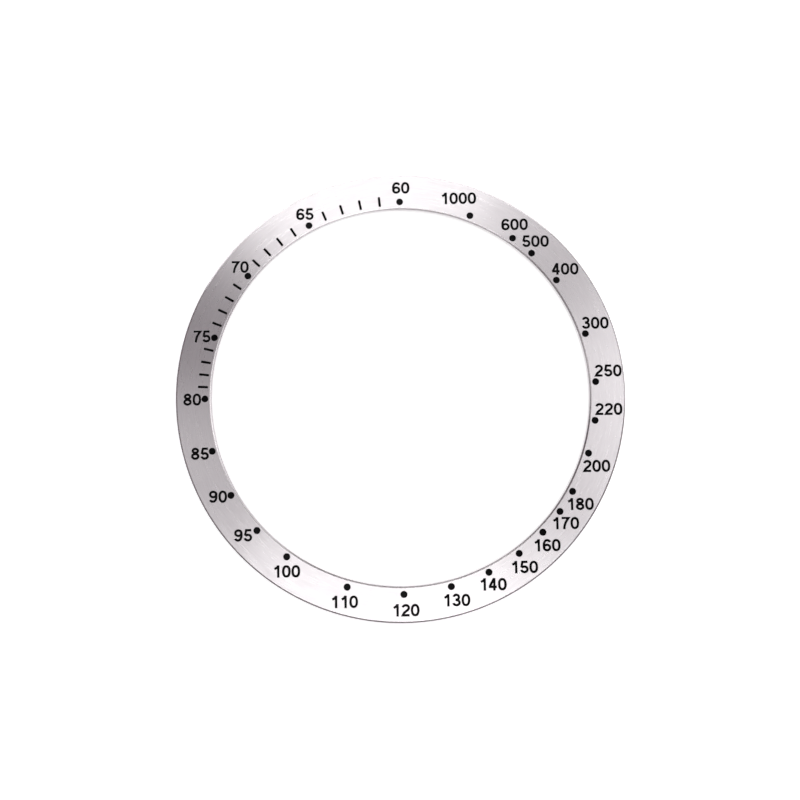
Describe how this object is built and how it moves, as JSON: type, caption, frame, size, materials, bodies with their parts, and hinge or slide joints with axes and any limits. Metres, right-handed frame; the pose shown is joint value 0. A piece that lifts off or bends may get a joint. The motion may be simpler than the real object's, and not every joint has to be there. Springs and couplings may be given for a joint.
{
  "type": "watch bezel insert ring",
  "caption": "Flat brushed steel ring that drops into a chronograph's bezel, engraved and lacquer-filled with a speed scale of dots, ticks and upright numerals.",
  "frame": {"origin": "centre of the adhesive film's lower face, on the ring's axis", "axes": "+Z out of the engraved face, +Y towards the 12 o'clock mark, +X towards 3 o'clock"},
  "size_m": [0.038, 0.038, 0.0005],
  "materials": {
    "brushed_steel": "circular brushed stainless steel with fine bright edges",
    "black_lacquer": "black lacquer fill, smooth and slightly glossy",
    "adhesive_film": "matt double-sided adhesive film"
  },
  "bodies": {
    "root": {"adhesive_ring": "adhesive_film", "insert_ring": "brushed_steel", "lacquer_dot_100": "black_lacquer", "lacquer_dot_1000": "black_lacquer", "lacquer_dot_110": "black_lacquer", "lacquer_dot_120": "black_lacquer", "lacquer_dot_130": "black_lacquer", "lacquer_dot_140": "black_lacquer", "lacquer_dot_150": "black_lacquer", "lacquer_dot_160": "black_lacquer", "lacquer_dot_170": "black_lacquer", "lacquer_dot_180": "black_lacquer", "lacquer_dot_200": "black_lacquer", "lacquer_dot_220": "black_lacquer", "lacquer_dot_250": "black_lacquer", "lacquer_dot_300": "black_lacquer", "lacquer_dot_400": "black_lacquer", "lacquer_dot_500": "black_lacquer", "lacquer_dot_60": "black_lacquer", "lacquer_dot_600": "black_lacquer", "lacquer_dot_65": "black_lacquer", "lacquer_dot_70": "black_lacquer", "lacquer_dot_75": "black_lacquer", "lacquer_dot_80": "black_lacquer", "lacquer_dot_85": "black_lacquer", "lacquer_dot_90": "black_lacquer", "lacquer_dot_95": "black_lacquer", "lacquer_tick_61": "black_lacquer", "lacquer_tick_62": "black_lacquer", "lacquer_tick_63": "black_lacquer", "lacquer_tick_64": "black_lacquer", "lacquer_tick_66": "black_lacquer", "lacquer_tick_67": "black_lacquer", "lacquer_tick_68": "black_lacquer", "lacquer_tick_69": "black_lacquer", "lacquer_tick_71": "black_lacquer", "lacquer_tick_72": "black_lacquer", "lacquer_tick_73": "black_lacquer", "lacquer_tick_74": "black_lacquer", "lacquer_tick_76": "black_lacquer", "lacquer_tick_77": "black_lacquer", "lacquer_tick_78": "black_lacquer", "lacquer_tick_79": "black_lacquer"}
  },
  "joints": []
}
